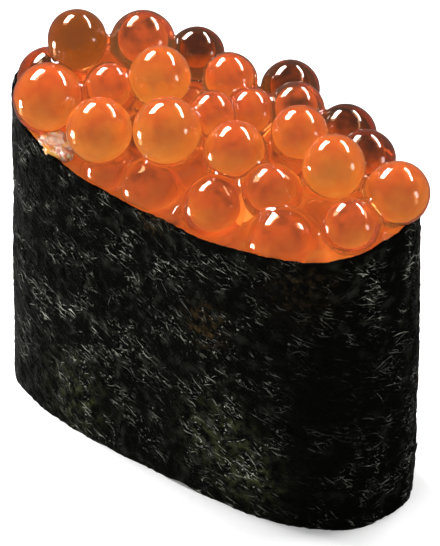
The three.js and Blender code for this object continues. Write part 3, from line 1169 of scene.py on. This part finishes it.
def roe_colour_group():
    """Roe painted paler below and darker above as painted shade, with cloudy places, and a painted glow, as
    emission, that is brighter below.
    """
    found = bpy.data.node_groups.get("Roe Colour")
    if found:
        return found
    inputs = {
        "Vector": "Vector",
        "Cloud Size": 3.0,
        "Clouds": 0.5,
        "Rise": 0.3,
        "Pale": (1.0, 0.6, 0.2, 1.0),
        "Amber": (0.8, 0.27, 0.035, 1.0),
        "Red": (0.56, 0.085, 0.014, 1.0),
        "Maroon": (0.16, 0.022, 0.006, 1.0),
        "Smoky": (0.3, 0.12, 0.03, 1.0),
        "Light Below": 0.5,
        "Light Above": 0.5,
        "Light Gathered": 0.0,
    }
    tree = new_tree("Roe Colour", "ShaderNodeTree", inputs, {"Colour": "Color", "Light": "Color"})
    given = add(tree, "NodeGroupInput").outputs
    up, darkness = shaded_value(tree, "roe_up"), shaded_value(tree, "roe_darkness")
    scale = maths(tree, "DIVIDE", 1 / MM, given["Cloud Size"])
    clouds = noise_at(tree, given["Vector"], scale, 2.0)["Fac"]
    drift = maths(tree, "MULTIPLY", maths(tree, "SUBTRACT", clouds, 0.5), given["Clouds"])
    # Painted shade: the roe's colour deepens with height in its ball, so its top is darker and its bottom
    # paler.
    depth = maths(tree, "MULTIPLY_ADD", up, given["Rise"], maths(tree, "ADD", darkness, drift))
    lightened = mix_colours(tree, fade(tree, depth, -0.7, 0.0), given["Pale"], given["Amber"])
    reddened = mix_colours(tree, fade(tree, depth, -0.15, 0.75), lightened, given["Red"])
    darkened = mix_colours(tree, fade(tree, depth, 0.6, 1.3), reddened, given["Maroon"])
    browned = mix_colours(tree, fade(tree, darkness, 1.0, 2.0), darkened, given["Smoky"])
    # Painted glow: emission brighter below than above, and stronger in a lit pearl.
    under = fade(tree, up, -1.0, 1.0, given["Light Below"], given["Light Above"])
    light = maths(tree, "ADD", under, fade(tree, darkness, -0.6, 0.0, given["Light Gathered"], 0.0))
    lit = mix_colours(tree, light, (0.0, 0.0, 0.0, 1.0), browned)
    add(tree, "NodeGroupOutput", {"Colour": browned, "Light": lit})
    return tree


def roe_colour(tree, settings, values):
    """The outputs of the group "Roe Colour" placed in a material."""
    inputs = {
        "Vector": object_place(tree),
        "Pale": opaque(settings.pale_colour),
        "Amber": opaque(settings.amber_colour),
        "Red": opaque(settings.red_colour),
        "Maroon": opaque(settings.maroon_colour),
        "Smoky": opaque(settings.smoky_colour),
    }
    return use_group(tree, roe_colour_group(), {**inputs, **values})


def clear_material(name, settings, blush_share, ior):
    """Wet, clear amber jelly that takes a share of the roe's own colour, and more of it if dark, with a faint
    painted glow.
    """
    material, tree, shader = new_material(name)
    shade = roe_colour(tree, settings, CLEAR_SHADING)
    share = fade(tree, shaded_value(tree, "roe_darkness"), DEEP, DARK, blush_share, DARK_BLUSH)
    tint = mix_colours(tree, share, opaque(settings.clear_colour), shade["Colour"])
    finish = {
        "Base Color": tint,
        # Painted glow: the jelly emits its own tint faintly.
        "Emission Color": tint,
        "Emission Strength": settings.haze,
        "Roughness": 0.04,
        "IOR": ior,
        "Transmission Weight": 1.0,
        "Coat Weight": 1.0,
        "Coat Roughness": 0.03,
        "Coat IOR": 1.5,
    }
    fill(tree, shader, finish)
    return material


def glowing_material(name, settings, values):
    """Cloudy roe of its own colour, with a painted glow as emission that stands in for the light that shines
    through the jelly round it.
    """
    material, tree, shader = new_material(name)
    shade = roe_colour(tree, settings, values)
    finish = {
        "Base Color": shade["Colour"],
        "Emission Color": shade["Light"],
        "Emission Strength": settings.glow,
        "Roughness": 0.6,
        "Specular IOR Level": 0.0,
    }
    fill(tree, shader, finish)
    return material


def press_into_band(piece):
    """Flattens whatever would cross the band below its rim against the band's inner face."""
    spots = plan_places(piece)
    share, turn = oval_share(spots[:, 0], spots[:, 1], PEARL_INSET)
    over_rim = np.maximum(spots[:, 2] - rim_height(turn), 0.0)
    limit = 1 + over_rim / HALF_WIDTH
    scale = np.where(share > limit, limit / np.maximum(share, 1e-6), 1.0)
    half_length = HALF_LENGTH - PEARL_INSET
    bow = BOW * (1 - (spots[:, 0] / half_length) ** 2)
    x = spots[:, 0] * scale
    y = (spots[:, 1] - bow) * scale + BOW * (1 - (x / half_length) ** 2)
    placed = np.stack([x, y, spots[:, 2]], axis=1) * MM + np.array(PLAN_ORIGIN)
    piece.data.vertices.foreach_set("co", placed.astype(np.float32).ravel())
    piece.data.update()


class GUNKAN_OT_roe_pearls(bpy.types.Operator):
    """Makes the pearls that show, plainer ones under and behind them, and the drop in each"""

    bl_idname = "gunkan.roe_pearls"
    bl_label = "Roe Pearls"

    def execute(self, context):
        settings = context.scene.gunkan_roe
        clear = clear_material("Salmon Roe", settings, PEARL_BLUSH, PEARL_IOR)
        cloudy = glowing_material("Roe Yolk", settings, YOLK_SHADING)
        tree = pearl_tree()
        laid, filling = laid_pearls(), rising_pearls(filling_pearls())
        for name, pearls, roundness, finish in (
            ("roe_pearls", laid, 5, clear),
            ("roe_pearls_under", filling, 4, clear),
            ("roe_yolks", yolk_drops(laid + filling), 4, cloudy),
        ):
            values = {"Roundness": roundness, "Lumpiness": settings.lumpiness, "Finish": finish}
            piece = run_tree(pearl_points(pearls), tree, values, name)
            press_into_band(piece)
            dress(piece, "roe_heap")
        return {"FINISHED"}


def film_grid():
    """The cell centres of the film's field in plan millimetres, as three axes."""
    margin = 2
    low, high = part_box("roe_heap")
    starts = (low - PLAN_ORIGIN) / MM
    ends = (high - PLAN_ORIGIN) / MM
    starts.z = FILM_FLOOR - 4 * FILM_CELL
    return [np.arange(a - margin, b + margin, FILM_CELL) for a, b in zip(starts, ends)]


def pearl_pull(x, y, z, pearl, blend):
    """How strongly a pearl draws the film to it: over its skin near its foot, and under it near its top."""
    side = (x - pearl[0]) ** 2 + (y - pearl[1]) ** 2
    rise = z - BAND_HEIGHT - pearl[2]
    gap = np.sqrt(side + rise**2)
    waterline = FILM_WET_LOW - (FILM_WET_LOW - FILM_WET_HIGH) * min(max(pearl[2] / FILM_WET_LIFT, 0.0), 1.0)
    bared = np.clip((rise / np.maximum(gap, 1e-6) - waterline) / FILM_WET_SPAN, 0, 1)
    sink = FILM_SINK * bared * bared * (3 - 2 * bared) - FILM_COAT
    return np.exp(-(gap - pearl[3] + sink) / blend)


def liquid_field(x, y, z, nearness, blend):
    """The film's field, below 0 inside it, from the pearls' pull and the places it is read at."""
    share, turn = oval_share(x, y, FILM_INSET)
    depth = np.maximum(z - pool_height(share, turn), -DEEPEST_READ * blend)
    skin = -blend * np.log(nearness + np.exp(-depth / blend))
    over_rim = np.maximum(z - rim_height(turn), 0.0)
    wall = (share - 1) * (HALF_WIDTH - FILM_INSET) - over_rim
    edge = np.maximum(skin, wall) + FILM_EDGE * np.log1p(np.exp(-np.abs(skin - wall) / FILM_EDGE))
    return np.maximum(edge, FILM_FLOOR - z)


def liquid_at(spots, blend):
    """The film's field at an array of plan places."""
    x, y, z = spots.T
    nearness = sum(pearl_pull(x, y, z, pearl, blend) for pearl in laid_pearls() + filling_pearls())
    return liquid_field(x, y, z, nearness, blend)


def liquid_grid(axes, blend):
    """The film's field on a grid, where each pearl is read only near itself."""
    x, y, z = np.meshgrid(*axes, indexing="ij", sparse=True)
    nearness = np.zeros([len(axis) for axis in axes])
    for pearl in laid_pearls() + filling_pearls():
        centre = (pearl[0], pearl[1], BAND_HEIGHT + pearl[2])
        reach = pearl[3] + PULL_REACH * blend
        i, j, k = (slice(*np.searchsorted(axis, (c - reach, c + reach))) for axis, c in zip(axes, centre))
        nearness[i, j, k] += pearl_pull(x[i], y[:, j], z[:, :, k], pearl, blend)
    return liquid_field(x, y, z, nearness, blend)


def blush(piece):
    """Gives each point of the film the height and darkness of the pearls that it lies against."""
    spots = plan_places(piece)
    weights = np.full(len(spots), FILM_OWN_WEIGHT)
    up = np.zeros(len(spots))
    darkness = weights * FILM_DARKNESS
    for x, y, lift, radius, dark in laid_pearls() + filling_pearls():
        gap = spots - np.array((x, y, BAND_HEIGHT + lift))
        away = np.maximum(np.linalg.norm(gap, axis=1) - radius, -FILM_BLUSH_DEPTH)
        near = np.exp(-away / FILM_BLUSH_REACH)
        weights += near
        up += near * np.clip(gap[:, 2] / radius, -1, 1)
        darkness += near * min(max(dark, 0.0), DARK)
    set_values(piece, "roe_up", up / weights)
    set_values(piece, "roe_darkness", darkness / weights)


def roe_film(settings):
    """The liquid as one closed skin, which climbs between the pearls in it and meets the band's rim."""
    axes = film_grid()
    blend = settings.film_blend / MM
    grid = openvdb.FloatGrid()
    grid.copyFromArray(np.ascontiguousarray(liquid_grid(axes, blend), dtype=np.float32))
    cells, quads = grid.convertToQuads(isovalue=0.0)
    spots = np.array([axis[0] for axis in axes]) + cells.astype(np.float64) * FILM_CELL
    step, least_steepness = 0.03, 0.2
    slope = np.stack(
        [liquid_at(spots + way, blend) - liquid_at(spots - way, blend) for way in step * np.eye(3)], axis=1
    ) / (2 * step)
    steepness = np.maximum(np.linalg.norm(slope, axis=1, keepdims=True), least_steepness)
    miss = np.clip(liquid_at(spots, blend), -FILM_CELL / 2, FILM_CELL / 2)[:, None]
    spots -= miss * slope / steepness**2
    piece = new_piece("roe_film", spots * MM + np.array(PLAN_ORIGIN), quads)
    piece.data.normals_split_custom_set_from_vertices(slope / steepness)
    blush(piece)
    return piece


def roe_bed():
    """The mass of deeper roe under the clear liquid, as a closed dome."""
    stations, rings, hub = 120, 16, 0.01
    vertices = []
    for ring in range(rings + 1):
        share = max(1 - ring / rings, hub)
        drop = BED_RIM_DROP + (BED_DROP - BED_RIM_DROP) * (1 - share**2)
        for i in range(stations):
            turn = i / stations * TAU
            height = float(pool_height(share, turn)) - drop
            vertices.append(to_frame(oval_point(turn, height, BED_INSET, share)))
    for i in range(stations):
        vertices.append(to_frame(oval_point(i / stations * TAU, BED_FLOOR, BED_INSET)))
    faces = [tuple(rings * stations + i for i in range(stations))]
    faces.append(tuple((rings + 1) * stations + i for i in reversed(range(stations))))
    for i in range(stations):
        j = (i + 1) % stations
        for ring in range(rings):
            low, high = ring * stations, (ring + 1) * stations
            faces.append((low + i, low + j, high + j, high + i))
        foot = (rings + 1) * stations
        faces.append((foot + i, foot + j, j, i))
    piece = new_piece("roe_bed", vertices, faces)
    blush(piece)
    return piece


class GUNKAN_OT_roe_film(bpy.types.Operator):
    """Makes the liquid film between the pearls and along the rim, and the deeper roe under it"""

    bl_idname = "gunkan.roe_film"
    bl_label = "Roe Film"

    def execute(self, context):
        settings = context.scene.gunkan_roe
        liquid = clear_material("Roe Liquid", settings, FILM_BLUSH, FILM_IOR)
        dress(roe_film(settings), "roe_heap", liquid)
        dress(roe_bed(), "roe_heap", glowing_material("Roe Bed", settings, BED_SHADING))
        return {"FINISHED"}


def torn_skin():
    """An empty roe skin, crumpled into a small wet lump against the rim."""
    noise.seed_set(NOISE_SEED)
    shape = bmesh.new()
    bmesh.ops.create_icosphere(shape, subdivisions=5, radius=1.0)
    rim = rim_height(math.atan2(TORN_SKIN["across"] / HALF_WIDTH, TORN_SKIN["along"] / HALF_LENGTH))
    middle = Vector((TORN_SKIN["along"], TORN_SKIN["across"], rim + TORN_SKIN["lift"]))
    for vertex in shape.verts:
        way = vertex.co.normalized()
        warp = noise.noise_vector(way * TORN_SKIN_WARP["turns"]) * TORN_SKIN_WARP["reach"]
        crumple = ridges(way * TORN_SKIN_CRUMPLES["turns"] + warp, TORN_SKIN_CRUMPLES["octaves"])
        swell = TORN_SKIN_CRUMPLES["least"] + TORN_SKIN_CRUMPLES["reach"] * crumple
        size = [side * swell for side in TORN_SKIN["size"]]
        vertex.co = to_frame(middle + Vector([part * side for part, side in zip(way, size)]))
    mesh = bpy.data.meshes.new("torn_skin")
    shape.to_mesh(mesh)
    shape.free()
    mesh.shade_smooth()
    return new_object("torn_skin", mesh)


def skin_material(settings):
    """Pale, wet, see-through skin."""
    material, tree, shader = new_material("Torn Roe Skin")
    pale, amber = opaque(settings.skin_colour), opaque(settings.amber_colour)
    place = object_place(tree)
    patches = mottle(tree, place, size=1.1, low=0.45, high=0.62, Ground=pale, Patch=amber)
    finish = {
        "Base Color": patches["Colour"],
        "Roughness": fade(tree, patches["Mask"], 0.0, 1.0, 0.12, 0.3),
        "IOR": 1.36,
        "Subsurface Weight": 0.8,
        "Subsurface Scale": 1.0 * MM,
        "Transmission Weight": 0.25,
        "Coat Weight": 1.0,
    }
    fill(tree, shader, finish)
    return material


class GUNKAN_OT_torn_skin(bpy.types.Operator):
    """Makes the torn, empty roe skin at the near left of the rim"""

    bl_idname = "gunkan.torn_skin"
    bl_label = "Torn Skin"

    def execute(self, context):
        dress(torn_skin(), "roe_heap", skin_material(context.scene.gunkan_roe))
        return {"FINISHED"}


# ---------------------------------------------------------------- the stage


class StageSettings(bpy.types.PropertyGroup):
    """The camera, lights and floor."""

    azimuth: FloatProperty(
        name="Azimuth",
        description="Camera angle round the sushi, 0 facing its long side",
        default=math.radians(43.2),
        subtype="ANGLE",
    )
    elevation: FloatProperty(
        name="Elevation",
        description="Camera angle above the floor",
        default=math.radians(30.0),
        subtype="ANGLE",
    )
    distance: FloatProperty(name="Distance", description="Camera distance", default=0.45, unit="LENGTH")
    lens: FloatProperty(name="Lens", description="Focal length in millimetres", default=267.7)
    slide: FloatProperty(
        name="Slide", description="How far the camera is moved to its right", default=1.24 * MM, unit="LENGTH"
    )
    rise: FloatProperty(
        name="Rise", description="How far the camera is moved up", default=2.56 * MM, unit="LENGTH"
    )
    floor_colour: FloatVectorProperty(
        name="Floor", description="The plain floor", default=(0.86, 0.86, 0.86), subtype="COLOR"
    )
    backdrop_strength: FloatProperty(
        name="Backdrop", description="Brightness of the backdrop behind the floor", default=0.9
    )
    surroundings_strength: FloatProperty(
        name="Surroundings", description="Brightness that the sushi sees all round", default=0.12
    )


# Panels that glint on the roe: name, direction from the heap, distance, width and height in metres, watts.
GLINT_PANELS = (
    ("panel_left_high", (-0.645, 0.033, 0.766), 0.50, 0.30, 0.13, 5.0),
    ("panel_right_high", (0.135, 0.655, 0.742), 0.50, 0.40, 0.05, 2.6),
    ("panel_left_low", (-0.804, -0.529, -0.275), 0.50, 0.10, 0.12, 1.4),
    ("panel_right_low", (0.925, 0.377, 0.12), 0.60, 0.12, 0.20, 0.5),
)
# Wide soft panels that light the pieces and aren't mirrored in them.
FILL_PANELS = (
    ("fill_top", (-0.25, 0.10, 0.96), 0.80, 0.90, 0.90, 5.0),
    ("fill_front", (-0.10, -0.85, 0.40), 0.90, 0.70, 0.50, 4.0),
)
# What the camera and the panels face, in plan millimetres.
AIM = (0.25, -0.5, 17.36)
HEAP_MIDDLE = (0.0, 0.0, 37.0)
FLOOR_HALF_SIZE = 3.0


def camera_axes(settings):
    """The camera's right, up and back directions."""
    turn, tilt = settings.azimuth, settings.elevation
    back = Vector((math.sin(turn) * math.cos(tilt), -math.cos(turn) * math.cos(tilt), math.sin(tilt)))
    right = Vector((math.cos(turn), math.sin(turn), 0.0))
    return right, back.cross(right), back


def add_camera(settings):
    """The camera, aimed at the middle of the sushi and then moved without turning."""
    right, up, back = camera_axes(settings)
    data = bpy.data.cameras.new("camera")
    data.lens = settings.lens
    data.sensor_width = 36.0
    data.clip_start, data.clip_end = 0.01, 20.0
    camera = new_object("camera", data)
    camera.location = to_frame(AIM) + back * settings.distance + right * settings.slide + up * settings.rise
    camera.rotation_euler = back.to_track_quat("Z", "Y").to_euler()
    bpy.context.scene.camera = camera


def add_panel(name, direction, distance, width, height, power, glints=True):
    """A soft rectangular light that faces the heap and isn't seen itself."""
    data = bpy.data.lights.new(name, "AREA")
    data.shape = "RECTANGLE"
    data.size, data.size_y = width, height
    data.energy = power
    lamp = new_object(name, data)
    away = Vector(direction).normalized()
    lamp.location = to_frame(HEAP_MIDDLE) + away * distance
    lamp.rotation_euler = away.to_track_quat("Z", "Y").to_euler()
    lamp.visible_camera = False
    lamp.visible_glossy = glints
    lamp.visible_transmission = glints


def add_floor(settings):
    """A plain pale floor, which the wet pearls don't mirror."""
    half = FLOOR_HALF_SIZE
    corners = [(-half, -half, 0), (half, -half, 0), (half, half, 0), (-half, half, 0)]
    floor = new_piece("floor", corners, [(0, 1, 2, 3)])
    material, tree, shader = new_material("Plain Floor")
    fill(tree, shader, {"Base Color": opaque(settings.floor_colour), "Roughness": 0.9})
    floor.data.materials.append(material)
    floor.visible_glossy = False
    floor.visible_transmission = False
    floor.visible_shadow = False


def add_surroundings(settings):
    """A plain backdrop that lights the sushi only dimly."""
    world = bpy.data.worlds.new("surroundings")
    world.use_nodes = True
    tree = world.node_tree
    tree.nodes.clear()
    seen = add(tree, "ShaderNodeLightPath").outputs["Is Camera Ray"]
    bounds = {"Value": seen, "To Min": settings.surroundings_strength, "To Max": settings.backdrop_strength}
    strength = add(tree, "ShaderNodeMapRange", bounds).outputs["Result"]
    glow = add(tree, "ShaderNodeBackground", {"Color": (1.0, 1.0, 1.0, 1.0), "Strength": strength})
    add(tree, "ShaderNodeOutputWorld", {"Surface": glow.outputs[0]})
    bpy.context.scene.world = world


class GUNKAN_OT_stage(bpy.types.Operator):
    """Sets up the floor, the soft lights and the camera"""

    bl_idname = "gunkan.stage"
    bl_label = "Stage"

    def execute(self, context):
        settings = context.scene.gunkan_stage
        add_camera(settings)
        for panel in GLINT_PANELS:
            add_panel(*panel)
        for panel in FILL_PANELS:
            add_panel(*panel, glints=False)
        add_floor(settings)
        add_surroundings(settings)
        context.scene.view_settings.view_transform = "Standard"
        return {"FINISHED"}


# ---------------------------------------------------------------- the add-on


STEPS = ("seaweed_sheet", "seaweed_strands", "rice", "roe_film", "roe_pearls", "torn_skin", "stage")
SETTINGS = {
    "gunkan_band": BandSettings,
    "gunkan_rice": RiceSettings,
    "gunkan_roe": RoeSettings,
    "gunkan_stage": StageSettings,
}


class GUNKAN_PT_pieces(bpy.types.Panel):
    """Lists the pieces of the sushi"""

    bl_idname = "GUNKAN_PT_pieces"
    bl_label = "Gunkan Sushi"
    bl_space_type = "VIEW_3D"
    bl_region_type = "UI"
    bl_category = "Gunkan"

    def draw(self, context):
        for name in STEPS:
            self.layout.operator("gunkan." + name)
        for name in SETTINGS:
            group = getattr(context.scene, name)
            box = self.layout.box()
            for key in group.bl_rna.properties.keys():
                if key not in ("rna_type", "name"):
                    box.prop(group, key)


CLASSES = (
    *SETTINGS.values(),
    GUNKAN_OT_seaweed_sheet,
    GUNKAN_OT_seaweed_strands,
    GUNKAN_OT_rice,
    GUNKAN_OT_roe_film,
    GUNKAN_OT_roe_pearls,
    GUNKAN_OT_torn_skin,
    GUNKAN_OT_stage,
    GUNKAN_PT_pieces,
)


def register():
    """Registers the classes and hangs the settings on the scene."""
    for item in CLASSES:
        bpy.utils.register_class(item)
    for name, group in SETTINGS.items():
        setattr(bpy.types.Scene, name, PointerProperty(type=group))


def unregister():
    """Undoes register."""
    for name in SETTINGS:
        delattr(bpy.types.Scene, name)
    for item in reversed(CLASSES):
        bpy.utils.unregister_class(item)


def main():
    """Makes every piece in order."""
    register()
    for step in STEPS:
        getattr(bpy.ops.gunkan, step)()


if __name__ == "__main__":
    main()
